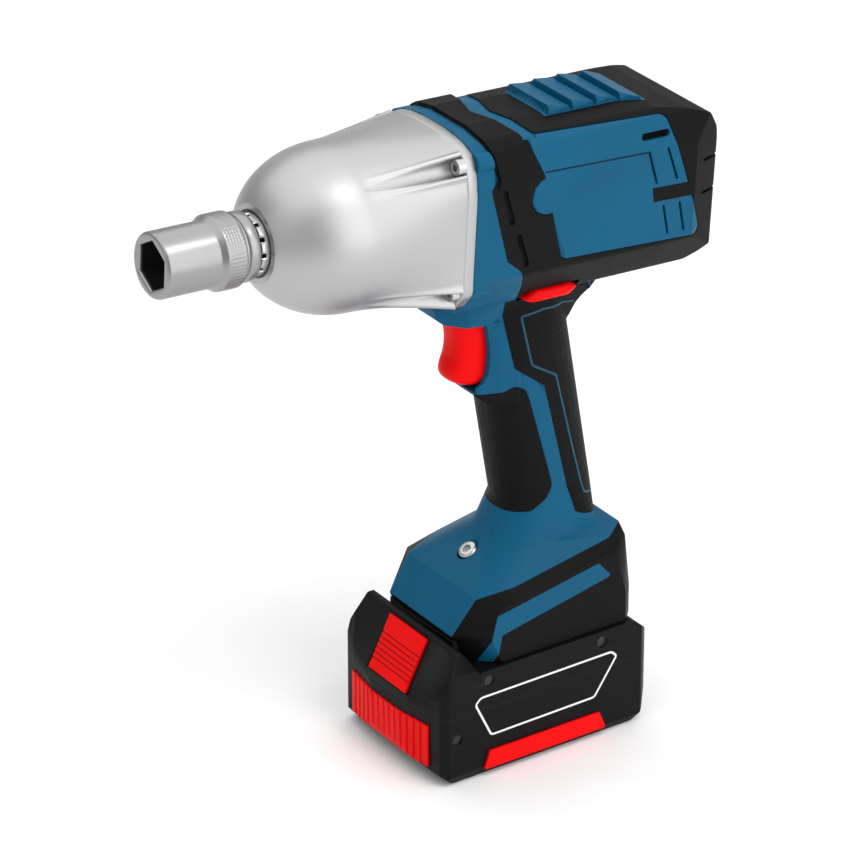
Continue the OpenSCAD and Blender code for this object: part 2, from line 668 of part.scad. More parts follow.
module spindle() color(steel) drive() difference() {
  union() {
    rod(pilot_r, wing_front - 3, hammer_front);
    rod(spindle_r, hammer_front - 0.3, cheek_front + 1);
    rod(cheek_r, cheek_front, planet_front - 0.5);
    tube(cheek_r, gear_module * sun_teeth / 2 + 2.5, cheek_back, cheek_back + 2.4);
    tube(boss_r, gear_module * sun_teeth / 2 + 2.5, cheek_back, boss_back);
    for (k = [0:2]) rotate([120 * k, 0, 0]) translate([0, 0, planet_orbit])
      rod(pin_r, planet_front - 1, cheek_back + 1);
  }
  for (s = [-1, 1]) translate([ball_x, 0, s * spindle_r]) sphere(ball_r);
  rod(gear_module * sun_teeth / 2 + 2.5, planet_front - 3, planet_front);
}

// Gears: straight-flanked teeth with backlash, add is the tooth's height over the pitch circle
function teeth(n, add, ded, thin) = let (m = gear_module, r = m * n / 2, s = 360 / n) [for (k = [0:n - 1]) each
  [[r - ded * m, -0.3 - thin], [r + add * m, -0.1], [r + add * m, 0.1], [r - ded * m, 0.3 + thin]]
  * [[1, 0], [0, s]] + [[0, k * s], [0, k * s], [0, k * s], [0, k * s]]];
function polar(p) = [for (q = p) q[0] * [cos(q[1]), sin(q[1])]];
module planet_gear(k) color(steel) drive() rotate([120 * k, 0, 0]) translate([0, 0, planet_orbit])
  along_x(planet_front, planet_front + planet_w) difference() {
    rotate(90 + 180 / planet_teeth * (planet_teeth % 2)) polygon(polar(teeth(planet_teeth, 0.8, 1.15, 0)));
    circle(pin_r + run_gap);
  }
module planet_gear_1() planet_gear(0);
module planet_gear_2() planet_gear(1);
module planet_gear_3() planet_gear(2);
module ring_gear() color(steel) drive() along_x(planet_front - 1.5, cheek_back - 0.3) difference() {
  circle(case_bore - run_gap);
  rotate(90 + 180 / ring_teeth * (planet_teeth % 2)) polygon(polar(teeth(ring_teeth, 1.15, 0.75, 0.08)));
}
module spindle_bearing() color(steel) drive() tube(bearing_r, boss_r + run_gap, boss_back - 6, boss_back);
module gear_plate() color([0.25, 0.25, 0.27]) drive() difference() {
  rod(plate_r, 0.5, front_bearing_back);
  rod(cheek_r + 1, 0, cheek_back + 2.9);
  rod(bearing_r, 0, boss_back + 0.3);
  rod(shaft_r + 3, 0, front_bearing_back + 1);
  rod(shaft_bearing_r, plate_back, front_bearing_back + 1);
}
module front_bearing() color(steel) drive()
  tube(shaft_bearing_r, shaft_r + run_gap, plate_back, front_bearing_back);
module rear_bearing() color(steel) drive()
  tube(shaft_bearing_r, shaft_r + run_gap, rear_bearing_back - 6, rear_bearing_back);

// Motor
poles = 4;
rotor_r = motor_r - 7;
slots = 12;
module rotor() color([0.45, 0.35, 0.3]) drive() union() {
  rod(shaft_r, cheek_back, rear_bearing_back - 0.3);
  along_x(planet_front, cheek_back + 0.5) rotate(90 + 180 / sun_teeth)
    polygon(polar(teeth(sun_teeth, 0.8, 1.15, 0)));
  along_x(motor_front + 4, motor_back - 4) difference() {
    circle(rotor_r - 0.5);
    for (k = [0:slots - 1]) rotate(360 * k / slots) translate([rotor_r - 5, -0.9]) square([6, 1.8]);
  }
  rod(shaft_r + 5, motor_back + 1, brush_back - 1);
}
module fan() color([0.2, 0.2, 0.22]) drive() difference() {
  union() {
    rod(motor_r - 3, fan_front, fan_front + 1.6);
    rod(shaft_r + 3, fan_front, fan_back);
    for (k = [0:fan_blades - 1]) rotate([360 * k / fan_blades, 0, 0])
      translate([fan_front, shaft_r + 4.5, -0.6]) cube([fan_back - fan_front, motor_r - shaft_r - 7.7, 1.2]);
  }
  rod(shaft_r, fan_front - 1, fan_back + 1);
}
module motor_can() color([0.5, 0.5, 0.52]) drive() tube(motor_r, motor_r - 2, motor_front, motor_back);
module magnets() color([0.2, 0.2, 0.2]) drive() along_x(motor_front + 3, motor_back - 3)
  for (k = [0:poles - 1]) rotate(360 * k / poles) intersection() {
    difference() {
      circle(motor_r - 2);
      circle(rotor_r + 0.4);
    }
    polygon([[0, 0], [far, -far * 0.8], [far, far * 0.8]]);
  }
module brush_ring() color([0.3, 0.26, 0.2]) drive() {
  tube(motor_r, motor_r - 8, motor_back, brush_back - 2);
  for (k = [0:poles - 1]) rotate([45 + 90 * k, 0, 0])
    translate([motor_back + 3, -2.5, shaft_r + 5.3]) cube([5, 5, motor_r - 8.2 - shaft_r - 5]);
}

// Controls
module trigger() color(red) {
  intersection() {
    across(trigger_w) polygon(rounded([for (p = [[-24.7, 4], [-22.4, -9], [-25.7, -19], [-23.5, -24.5],
      [-18, -28], [-11, -29], [0, -27], [0, -2]]) p + [trigger_rear, trigger_top]], 1.8));
    linear_extrude(far * 2) polygon(rounded(mirrored_y([for (p = [[-27.2, 3.5], [-19.2, trigger_w / 2],
      [5, trigger_w / 2]]) p + [trigger_rear, 0]]), 3));
  }
  translate([0, 0, stem_z]) rod(3, trigger_rear - 1, switch_front + 3);
}
module trigger_spring() color(steel) translate([0, 0, stem_z]) coil(4.4, 0.5, trigger_rear, switch_front, 2);
module switch_module() color([0.16, 0.16, 0.17]) difference() {
  block(switch_front, switch_front + 15, 20, trigger_top - 23, switch_top);
  translate([0, 0, stem_z]) rod(3 + run_gap, switch_front - 1, switch_front + trigger_travel + 5);
}
module direction_switch() color(red) drive() translate([switch_x, 0, switch_z])
  rotate([90, 0, 0]) linear_extrude(51, center = true)
    polygon(rounded([[-switch_l / 2, -0.8], [-switch_l / 2 + 3, -switch_h / 2], [switch_l / 2 - 4, -switch_h / 2],
      [switch_l / 2, 0.2], [switch_l / 2 - 5, switch_h / 2], [-switch_l / 2 + 6, switch_h / 2]], 1.4));

// Foot: the terminal block and its blades, which stand in the pack's slots
blade_y = [-12, -4, 4, 12];
module terminal_block() color([0.2, 0.18, 0.15]) {
  block(3, 37, 37, tongue_top + 0.6, tongue_top + 13.5);
  for (y = blade_y) translate([0, y, 0]) block(18, 35, 1, tongue_top - 5, tongue_top + 1);
}

// Battery pack
pack_side = [
  [-pack_l / 2 + 11, 0], [-pack_l / 2 + 2, 7.5], [-pack_l / 2 + 0.5, 11.5], [-pack_l / 2, 28],
  [-pack_l / 2 + 1, 36.5],
  [-foot_front - 3.2, tower_top], [-foot_front - 0.4, tower_top], [-foot_front + 7, foot_low - 0.4],
  [pack_l / 2 - 9, foot_low - 0.4], [pack_l / 2, pack_h - 8.5], [pack_l / 2, 14], [pack_l / 2 - 4, 6],
  [pack_l / 2 - 10, 0]
];
pack_plan = mirrored_y([
  [-pack_l / 2, 10], [-pack_l / 2 + 3, pack_w / 2 - 9], [-pack_l / 2 + 4.3, pack_w / 2 - 2],
  [-pack_l / 2 + 8, pack_w / 2], [pack_l / 2 - 5.5, pack_w / 2], [pack_l / 2, pack_w / 2 - 5.5]
]);
module pack_outside(i) intersection() {
  across(far) polygon(rounded(inset(pack_side, i), 1.5));
  linear_extrude(far) polygon(rounded(inset(pack_plan, i), 2));
  translate([-far, 0, 0]) along_x(0, far * 2) polygon(rounded(inset(mirrored(
    [[pack_w / 2 - 4.5, tower_top], [pack_w / 2 - 1.5, pack_h + 1], [pack_w / 2, pack_h - 5], [pack_w / 2, 4],
      [pack_w / 2 - 2, 0]]), i), 1));
}
module pack_hollow() difference() {
  intersection() {
    pack_outside(pack_wall);
    block(-far, far, far, 0, pack_h - 4);
  }
  button_frame() block(-9, button_pocket + 1, button_w + 6, -far, far);
}
bumper_z = [8, 28.3];
bumper_w = 58.6;
module bumper_zone(gap, out) translate([0, 0, bumper_z[0] + gap])
  linear_extrude(bumper_z[1] - bumper_z[0] - 2 * gap) difference() {
    intersection() {
      translate([-far, -bumper_w / 2 + gap]) square([far - pack_l / 2 + 12, bumper_w - 2 * gap]);
      polygon(rounded(inset(pack_plan, -out), 2));
    }
    polygon(rounded(inset(pack_plan, 1.8), 2));
  }
module side_bar(s) translate([0, s * pack_w / 2, 0]) rotate([90, 0, 0]) linear_extrude(2, center = true)
  polygon(rounded([[-29, 12], [29, 12], [32.5, 3.4], [-32, 3.4]], 0.8));
dimples = [[-29, 46], [30.5, 46], [-45.5, 22]];
module pack_dimples(r, l) for (s = [-1, 1], p = dimples) translate([p[0], s * (pack_w / 2 - 2.5), p[1]])
  rotate([-90 * s, 0, 0]) cylinder(r = r, h = l);
module pack_lower_case() color(black) difference() {
  intersection() {
    pack_outside(0);
    block(-far, far, far, -1, parting_h);
  }
  pack_hollow();
  bumper_zone(0, 5);
  for (s = [-1, 1]) side_bar(s);
  pack_dimples(2.6, 9);
}
module pack_upper_case() color(black) difference() {
  union() {
    intersection() {
      pack_outside(0);
      block(-far, far, far, parting_h, far);
    }
    block(tongue_front, tongue_back, tongue_w, pack_h - 3, tongue_top);
  }
  pack_hollow();
  for (s = [-1, 1]) translate([0, s * (tongue_w / 2 + 5 - rail_in), 0])
    block(-foot_front + 11, far, 10, rail_low, rail_high);
  for (y = blade_y) translate([0, y, 0]) block(16, far, 2.4, tongue_top - 6, tongue_top + 1);
  button_frame() button_solid(slide_gap, button_pocket);
  pack_dimples(2.6, 9);
}
module pack_screws() color([0.25, 0.25, 0.27]) pack_dimples(2.5, 1.6);
module pack_cells() color([0.3, 0.45, 0.6]) for (k = [0:4], z = [0, 1])
  translate([(k - 2) * 2 * cell_r + cell_shift, 0, pack_wall + cell_r + z * 2 * cell_r])
    rotate([90, 0, 0]) cylinder(r = cell_r, h = cell_l, center = true);
module pack_contacts() color("peru") for (y = blade_y) translate([0, y, 0]) difference() {
  block(17, 24, 2.2, tongue_top - 5.9, tongue_top - 1);
  block(16, 25, 1.6, tongue_top - 5.3, tongue_top + 1);
}
module pack_bumper() color(red) difference() {
  intersection() {
    bumper_zone(0.1, 0.8);
    across(far) polygon([[-pack_l / 2 + 1.2, bumper_z[0] - 1], [-pack_l / 2 - 0.3, bumper_z[0] + 4],
      [-pack_l / 2 - 0.8, bumper_z[1] + 1], [0, bumper_z[1] + 1], [0, bumper_z[0] - 1]]);
  }
  for (k = [-6:6]) translate([-pack_l / 2 - 0.8 + 0.16 * max(0, abs(k) * 4.2 - 10), k * 4.2, 0])
    cylinder(r = 0.8, h = 40, $fn = 16);
}
module pack_side_bars() color(red) for (s = [-1, 1]) side_bar(s);

// Release button on the sloped front of the pack, pressed square to that face
button_top = [-foot_front - 3.2, tower_top];
button_low = [-pack_l / 2 + 1, 36.5];
button_slope = atan2(button_top[0] - button_low[0], button_top[1] - button_low[1]);
module button_frame() translate([button_low[0], 0, button_low[1]]) rotate([0, button_slope, 0]) children();
module button_solid(gap, depth) translate([-2, -button_w / 2 - gap, 1 - gap])
  cube([depth + 2, button_w + 2 * gap, norm(button_top - button_low) - 3 + 2 * gap]);
module release_button() color(red) button_frame() difference() {
  translate([1.2, 0, 0]) button_solid(0, button_back - 1.2);
  for (k = [0:5]) translate([-1, -far / 2, 6 + k * 2.4]) rotate([0, 45, 0]) cube([0.8, far, 0.8]);
}
module button_spring() color(steel) button_frame() translate([0, 0, 12])
  coil(4, 0.4, button_back, button_pocket, 2);

left_housing();
right_housing();
left_body_overmould();
right_body_overmould();
left_front_grip();
right_front_grip();
left_rear_grip();
right_rear_grip();
left_foot_bumper();
right_foot_bumper();
housing_screws();
foot_screw();
hammer_case();
case_screws();
nose_bush();
nose_collar();
anvil();
retainer_ring();
socket();
hammer();
hammer_spring();
cam_balls();
spindle();
planet_gear_1();
planet_gear_2();
planet_gear_3();
ring_gear();
spindle_bearing();
gear_plate();
front_bearing();
rear_bearing();
rotor();
fan();
motor_can();
magnets();
brush_ring();
trigger();
trigger_spring();
switch_module();
direction_switch();
terminal_block();
pack_lower_case();
pack_upper_case();
pack_cells();
pack_contacts();
pack_bumper();
pack_side_bars();
pack_screws();
release_button();
button_spring();
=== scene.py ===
"""Cordless impact wrench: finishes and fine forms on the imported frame, with the photograph's camera."""
import json
import math

import bmesh
import bpy
import numpy as np
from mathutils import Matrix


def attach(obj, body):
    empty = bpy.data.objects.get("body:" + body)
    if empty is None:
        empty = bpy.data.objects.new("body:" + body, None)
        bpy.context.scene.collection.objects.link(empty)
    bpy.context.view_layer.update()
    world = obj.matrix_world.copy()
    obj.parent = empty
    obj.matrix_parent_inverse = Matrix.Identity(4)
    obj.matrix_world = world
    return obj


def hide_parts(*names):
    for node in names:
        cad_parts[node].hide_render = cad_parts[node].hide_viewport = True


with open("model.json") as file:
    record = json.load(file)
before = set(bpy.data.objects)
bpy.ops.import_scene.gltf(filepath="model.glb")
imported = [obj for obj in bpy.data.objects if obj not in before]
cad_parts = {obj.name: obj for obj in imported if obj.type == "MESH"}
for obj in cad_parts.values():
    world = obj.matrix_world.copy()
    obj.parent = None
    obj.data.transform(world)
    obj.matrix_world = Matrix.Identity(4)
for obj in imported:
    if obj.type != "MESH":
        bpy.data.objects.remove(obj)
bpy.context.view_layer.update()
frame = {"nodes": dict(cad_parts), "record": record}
nodes = frame["nodes"]
slot_of = {part["node"]: part["material_slot"] for part in frame["record"]["subparts"]}

# The camera fitted to the photograph, in metres and degrees, its sensor in millimetres
CAMERA_AT = (-1.09086, -1.55133, 1.12348)
CAMERA_TURN = (62.7, 0.0, -34.2)
FOCAL_PIXELS = 5000.0
FRAME_PIXELS = 850.0
SENSOR = 36.0

# Sizes, most of them shared with the solids, in millimetres and degrees
MM = 0.001
JOINT_X, AXIS_H, NOSE_UP = -33.5, 257.4, 3.2
CASE_R, CASE_LEN, DOME_LEN, FLANGE_T = 36.0, 87.5, 41.7, 5.0
BODY_W, BODY_TOP, FLANGE_LOW = 66.0, 36.5, 36.5
CREASE_DROP, CREASE_LEAN, SLOT_DEEP = 18.5, 0.28, 1.2
SCREW_PITCH, SCREW_WELL = 56.0, 3.7
CASE_BORE, BUSH_R = 32.0, 14.2
DOME_SHARE, TAPER_POWER, RIM_INSET, RING_GATHER = 0.8873, 1.3, 0.45, 0.15
RIB_H, RIB_OFF, RIB_W = 1.3, 1.2, 1.0
HAMMER_FRONT, WING_FRONT = -57.9, -65.5
SOCKET_BACK, SOCKET_LEN, SOCKET_R, SOCKET_REAR_R = -92.0, 43.5, 14.0, 16.0
HEXAGON, HEXAGON_DEEP, SQUARE_R, SQUARE_DEEP = 19.0, 17.0, 9.2, 17.5
KNURL_H, KNURL_COUNT, KNURL_SLANT = 0.12, 30, 2.4
ANVIL_R, COLLAR_FRONT, NOTCH_FLOOR, NOTCH_DEPTH = 11.0, -91.1, 1.6, 2.2
TRIGGER_TOP, TRIGGER_REAR, TRIGGER_W, TRIGGER_H = 199.0, -2.04, 18.0, 29.0
TRIGGER_REACH, TRIGGER_RISE, RISE_DEEP = 24.7, (4.0, -2.0), 14.0
LIP_TOP, LIP_NARROW, FRONT_ROUND, REAR_ROUND = 23.0, 0.75, 2.6, 6.0
STEM_LOW, STEM_R, STEM_LEN = 11.0, 3.0, 12.0
SWITCH_AT, SWITCH_L, SWITCH_H, SWITCH_REACH, SWITCH_END = (47.0, -40.7), 28.0, 5.6, 25.5, 4.0
HANDLE_AT, HANDLE_LEAN, HANDLE_D, HANDLE_W, HANDLE_ROUND = (17.5, 142.0), 9.6, 45.0, 34.0, 0.84
FLARE_TOP, FLARE_CURVE, FLARE_MAX = 118.0, 0.011, 0.9
PACK_W, FOOT_SCREW_AT, FOOT_SCREW_LEAN, FOOT_RECESS_R = 76.0, (-14.9, 89.4), 32.0, 2.2

# How sharp a turn, in degrees, stays an edge when a solid's mesh is shaded
SHELL_SHARP, SKIN_SHARP = 14.0, 24.0

# Patterns, in cycles per metre: the wander of the colour, then the grain of moulded plastic, of cast metal
# and rubber, and of the rest
WANDER, MOULD_GRAIN, CAST_GRAIN, PLAIN_GRAIN = 24.0, 1800.0, 1500.0, 900.0

# Radius of a moulded edge, of a metal one and of one on the pack, in metres
EDGE, METAL_EDGE, PACK_EDGE = 0.0006, 0.0003, 0.0012


# Materials


def new_material(name, color, roughness, metallic=0.0):
    """A plain principled material: returns it, its node tree, its shader and its object coordinates."""
    mat = bpy.data.materials.new(name)
    mat.use_nodes = True
    tree = mat.node_tree
    shader = tree.nodes["Principled BSDF"]
    shader.inputs["Base Color"].default_value = (*color, 1.0)
    shader.inputs["Roughness"].default_value = roughness
    shader.inputs["Metallic"].default_value = metallic
    coords = tree.nodes.new("ShaderNodeTexCoord")
    return mat, tree, shader, coords.outputs["Object"]


def noise(tree, coords, scale, detail=3.0):
    """A noise pattern on object coordinates, scale in cycles per metre."""
    tex = tree.nodes.new("ShaderNodeTexNoise")
    tex.inputs["Scale"].default_value = scale
    tex.inputs["Detail"].default_value = detail
    tree.links.new(coords, tex.inputs["Vector"])
    return tex.outputs["Fac"]


def ramp(tree, value, stops):
    """Maps a 0 to 1 value through colour stops [(place, colour)]."""
    node = tree.nodes.new("ShaderNodeValToRGB")
    elements = node.color_ramp.elements
    while len(elements) < len(stops):
        elements.new(0.5)
    for element, (place, color) in zip(elements, stops):
        element.position = place
        element.color = (*color, 1.0)
    tree.links.new(value, node.inputs["Fac"])
    return node.outputs["Color"]


def softened(tree, radius):
    """The surface's normal with its edges rounded to a radius, one node for each material."""
    node = tree.nodes.get("soft_edges")
    if not node:
        node = tree.nodes.new("ShaderNodeBevel")
        node.name = "soft_edges"
        node.samples = 4
        node.inputs["Radius"].default_value = radius
    return node.outputs["Normal"]


def bump(tree, shader, height, strength, distance, edge):
    """Raises the shader's normal by a height pattern, distance in metres, over edges softened to a radius."""
    node = tree.nodes.new("ShaderNodeBump")
    node.inputs["Strength"].default_value = strength
    node.inputs["Distance"].default_value = distance
    tree.links.new(height, node.inputs["Height"])
    if edge:
        tree.links.new(softened(tree, edge), node.inputs["Normal"])
    tree.links.new(node.outputs["Normal"], shader.inputs["Normal"])


# Mask for the painted highlight along edges
def painted_edge_highlight(tree, reach):
    """How far the surface turns within a reach: 0 on a flat, towards 1 along an edge."""
    straight = tree.nodes.new("ShaderNodeNewGeometry")
    agree = tree.nodes.new("ShaderNodeVectorMath")
    agree.operation = "DOT_PRODUCT"
    tree.links.new(softened(tree, reach), agree.inputs[0])
    tree.links.new(straight.outputs["Normal"], agree.inputs[1])
    turned = tree.nodes.new("ShaderNodeMapRange")
    turned.inputs["From Min"].default_value = 1.0
    turned.inputs["From Max"].default_value = 0.8
    tree.links.new(agree.outputs["Value"], turned.inputs["Value"])
    return turned.outputs["Result"]


def blend(tree, factor, first, second):
    """Mixes a colour output with a fixed colour by a factor."""
    node = tree.nodes.new("ShaderNodeMix")
    node.data_type = "RGBA"
    tree.links.new(factor, node.inputs["Factor"])
    tree.links.new(first, node.inputs["A"])
    node.inputs["B"].default_value = (*second, 1.0)
    return node.outputs["Result"]


def grained(name, color, roughness, grain, depth, spread=0.12, metallic=0.0, edge=0.0, gloss=0.5, edge_highlight=None):
    """A moulded or cast finish: the colour wanders by spread, the gloss with it, over a fine grain. Along
    its edges the colour goes part of the way to the lighter colour of edge_highlight, a painted highlight."""
    mat, tree, shader, coords = new_material(name, color, roughness, metallic)
    shader.inputs["Specular IOR Level"].default_value = gloss
    broad = noise(tree, coords, WANDER)
    dark = tuple(c * (1.0 - spread) for c in color)
    light = tuple(min(1.0, c * (1.0 + spread)) for c in color)
    base = ramp(tree, broad, [(0.3, dark), (0.7, light)])
    if edge_highlight:
        base = blend(tree, painted_edge_highlight(tree, edge), base, edge_highlight)
    tree.links.new(base, shader.inputs["Base Color"])
    shine = ramp(tree, broad, [(0.3, (roughness * 0.9,) * 3), (0.7, (roughness * 1.1,) * 3)])
    tree.links.new(shine, shader.inputs["Roughness"])
    bump(tree, shader, noise(tree, coords, grain, 2.0), 0.5, depth, edge)
    return mat


def stippled(name, color, roughness, pitch, depth, edge, gloss):
    """Rubber with moulded pimples: a pattern of cells, one round pimple per pitch, over a fine grain."""
    mat = grained(name, color, roughness, CAST_GRAIN, 0.00005, edge=edge, gloss=gloss)
    tree = mat.node_tree
    coords = next(n for n in tree.nodes if n.type == "TEX_COORD").outputs["Object"]
    cells = tree.nodes.new("ShaderNodeTexVoronoi")
    cells.inputs["Scale"].default_value = 1.0 / pitch
    cells.inputs["Randomness"].default_value = 0.35
    tree.links.new(coords, cells.inputs["Vector"])
    pimple = ramp(tree, cells.outputs["Distance"], [(0.1, (1.0,) * 3), (0.5, (0.0,) * 3)])
    bump(tree, tree.nodes["Principled BSDF"], pimple, 0.8, depth, edge)
    return mat


def metal(name, color, roughness, spread, grain=PLAIN_GRAIN, depth=0.00003, edge=0.0):
    """A bare metal: the same wandering colour and grain on a metallic shader."""
    return grained(name, color, roughness, grain, depth, spread, 1.0, edge)


# Black, and the lighter black painted along edges as a highlight
BLACK, BLACK_EDGE_HIGHLIGHT = (0.003, 0.003, 0.0033), (0.009, 0.009, 0.0095)
# blue_shell, black_rubber and black_plastic go lighter along their edges: painted highlight
FINISHES = {
    "blue_shell": grained("petrol_blue_plastic", (0.001, 0.084, 0.17), 0.44, MOULD_GRAIN, 0.00005, 0.08,
                          edge=EDGE, gloss=0.12, edge_highlight=(0.003, 0.105, 0.215)),
    "black_rubber": grained("soft_black_rubber", BLACK, 0.55, CAST_GRAIN, 0.0001, edge=EDGE, gloss=0.1,
                            edge_highlight=BLACK_EDGE_HIGHLIGHT),
    "screw_steel": metal("plated_steel", (0.5, 0.5, 0.5), 0.28, 0.06, edge=METAL_EDGE),
    "cast_case": metal("cast_aluminium", (0.44, 0.44, 0.445), 0.42, 0.03, CAST_GRAIN, 0.00004, EDGE),
    "bronze": metal("bronze", (0.08, 0.06, 0.045), 0.45, 0.08),
    "dark_metal": metal("oiled_metal", (0.05, 0.05, 0.055), 0.42, 0.1),
    "drive_steel": metal("ground_steel", (0.42, 0.42, 0.44), 0.3, 0.06),
    "socket_chrome": metal("satin_chrome", (0.31, 0.31, 0.315), 0.32, 0.04, depth=0.00002, edge=METAL_EDGE),
    "spring_steel": metal("drawn_wire", (0.5, 0.5, 0.52), 0.3, 0.06),
    "motor_metal": metal("steel_sheet", (0.35, 0.33, 0.32), 0.4, 0.1),
    "inner_plastic": grained("dark_plastic", (0.012, 0.012, 0.012), 0.5, PLAIN_GRAIN, 0.00005),
    "red_plastic": grained("bright_red_plastic", (0.8, 0.0015, 0.002), 0.42, MOULD_GRAIN, 0.00004, 0.05,
                           edge=EDGE, gloss=0.08),
    "black_plastic": grained("black_plastic", BLACK, 0.48, MOULD_GRAIN, 0.00006, edge=PACK_EDGE, gloss=0.12,
                             edge_highlight=BLACK_EDGE_HIGHLIGHT),
    "cell_sleeve": grained("cell_sleeve", (0.05, 0.12, 0.25), 0.4, PLAIN_GRAIN, 0.00003),
}
GRIP_RUBBER = stippled("stippled_grip_rubber", BLACK, 0.55, 0.0011, 0.00025, EDGE, 0.09)
# Near-black steel: painted shade inside the socket's mouth and on the anvil deep in the nose
MOUTH_SHADE_STEEL = metal("painted_shade_steel", (0.06, 0.06, 0.06), 0.45, 0.1)
LABEL_WHITE = grained("printed_white", (0.8, 0.8, 0.8), 0.5, PLAIN_GRAIN, 0.00001, 0.03)
INLAY_BLUE = grained("inlay_blue", (0.006, 0.07, 0.13), 0.4, PLAIN_GRAIN, 0.00001, 0.06, gloss=0.2)
# Near-black for painted shade: in the panel's vent slot and between the collar's teeth
SLOT_SHADE = grained("slot_shadow", (0.0012, 0.0012, 0.0014), 0.7, PLAIN_GRAIN, 0.00001, 0.2, gloss=0.05)
# Dark blue for a thin line of painted shade along the panel's seam
SEAM_SHADE_BLUE = grained("painted_seam_shade", (0.001, 0.016, 0.04), 0.5, PLAIN_GRAIN, 0.00001, 0.06, gloss=0.1)
for node, slot in slot_of.items():
    mesh = nodes[node].data
    mesh.materials.clear()
    mesh.materials.append(FINISHES["dark_metal" if node == "pack_screws" else slot])


# Pieces as grids of points


def finish_piece(name, mesh, finish, body, hides, sharp):
    """Closes the mesh, turns its faces outwards, smooths it up to edges sharper than an angle, and puts it
    on its body and slot, in place of the solids that it hides."""
    shape = bmesh.new()
    shape.from_mesh(mesh)
    bmesh.ops.remove_doubles(shape, verts=shape.verts, dist=1e-6)
    bmesh.ops.dissolve_degenerate(shape, edges=shape.edges, dist=1e-7)
    bmesh.ops.recalc_face_normals(shape, faces=shape.faces)
    shape.to_mesh(mesh)
    shape.free()
    mesh.shade_smooth()
    mesh.set_sharp_from_angle(angle=math.radians(sharp))
    mesh.materials.clear()
    mesh.materials.append(finish)
    piece = bpy.data.objects.new(name, mesh)
    bpy.context.scene.collection.objects.link(piece)
    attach(piece, body)
    if hides:
        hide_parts(*hides)
    return piece


def quads(index):
    """Faces between neighbours of a grid of point numbers."""
    return np.stack([index[:-1, :-1], index[:-1, 1:], index[1:, 1:], index[1:, :-1]], -1).reshape(-1, 4)


def surface(name, grids, finish, body, hides=(), wrap=(False, True), sharp=40.0):
    """Grids of points (rows, columns, 3) in metres as one mesh: quads between neighbours, joined round
    where wrap says, first for the rows and then for the columns."""
    points, faces, start = [], [], 0
    for grid in grids:
        rows, columns = grid.shape[:2]
        index = start + np.arange(rows * columns).reshape(rows, columns)
        index = np.concatenate([index, index[:1]], 0) if wrap[0] else index
        index = np.concatenate([index, index[:, :1]], 1) if wrap[1] else index
        faces.append(quads(index))
        points.append(grid.reshape(-1, 3))
        start += rows * columns
    mesh = bpy.data.meshes.new(name)
    mesh.from_pydata(np.concatenate(points).tolist(), [], np.concatenate(faces).tolist())
    finish_piece(name, mesh, finish, body, hides, sharp)


def smoothed(node, body, sharp, finish):
    """Stands for a solid: a merged copy of its mesh, shaded smoothly between its sharp edges."""
    solid = nodes[node].data
    finish = finish or solid.materials[0]
    piece = finish_piece(node + "_skin", solid.copy(), finish, body, (node,), sharp)
    weighted = piece.modifiers.new("even_normals", "WEIGHTED_NORMAL")
    weighted.keep_sharp = True


def turns(count):
    """Angles of a full turn in equal steps."""
    return np.arange(count) * 2 * math.pi / count


def on_drive(x, y, z):
    """Points along, across and above the drive axis, in millimetres, as places in the frame, in metres."""
    turn = math.radians(NOSE_UP)
    return np.stack([
        JOINT_X + x * math.cos(turn) + z * math.sin(turn),
        y + 0.0 * x,
        AXIS_H - x * math.sin(turn) + z * math.cos(turn),
    ], -1) * MM


def rings(along, radius, angle):
    """Rings round the drive axis: at each place along it, points at the given radius for each angle."""
    return on_drive(np.asarray(along)[:, None] + 0 * radius, radius * np.cos(angle), radius * np.sin(angle))


def capped(grid):
    """Closes a row of rings at both ends with a point, the mean of the last ring there."""
    first, last = (end.mean(1, keepdims=True).repeat(grid.shape[1], 1) for end in (grid[:1], grid[-1:]))
    return np.concatenate([first, grid, last])


def outline_radius(points, angle, order):
    """Polar radius of a convex outline: a side at distance d with its normal at n lies d / cos(angle - n)
    away, and a power mean of high order over the sides takes the nearest and rounds the corners."""
    edge = np.roll(points, -1, 0) - points
    normal = np.stack([edge[:, 1], -edge[:, 0]], -1) / np.linalg.norm(edge, axis=1)[:, None]
    distance = (points * normal).sum(1)
    normal, distance = normal * np.sign(distance)[:, None], np.abs(distance)
    facing = np.cos(angle[:, None] - np.arctan2(normal[:, 1], normal[:, 0])[None]) / distance[None]
    return (np.maximum(facing, 1e-4) ** order).sum(1) ** (-1.0 / order)


def hexagon_radius(corner_r, first, angle, order):
    """Polar radius of a regular hexagon whose corners lie at a radius, the first of them at a given angle."""
    corners = turns(6) + first
    return outline_radius(corner_r * np.stack([np.cos(corners), np.sin(corners)], -1), angle, order)


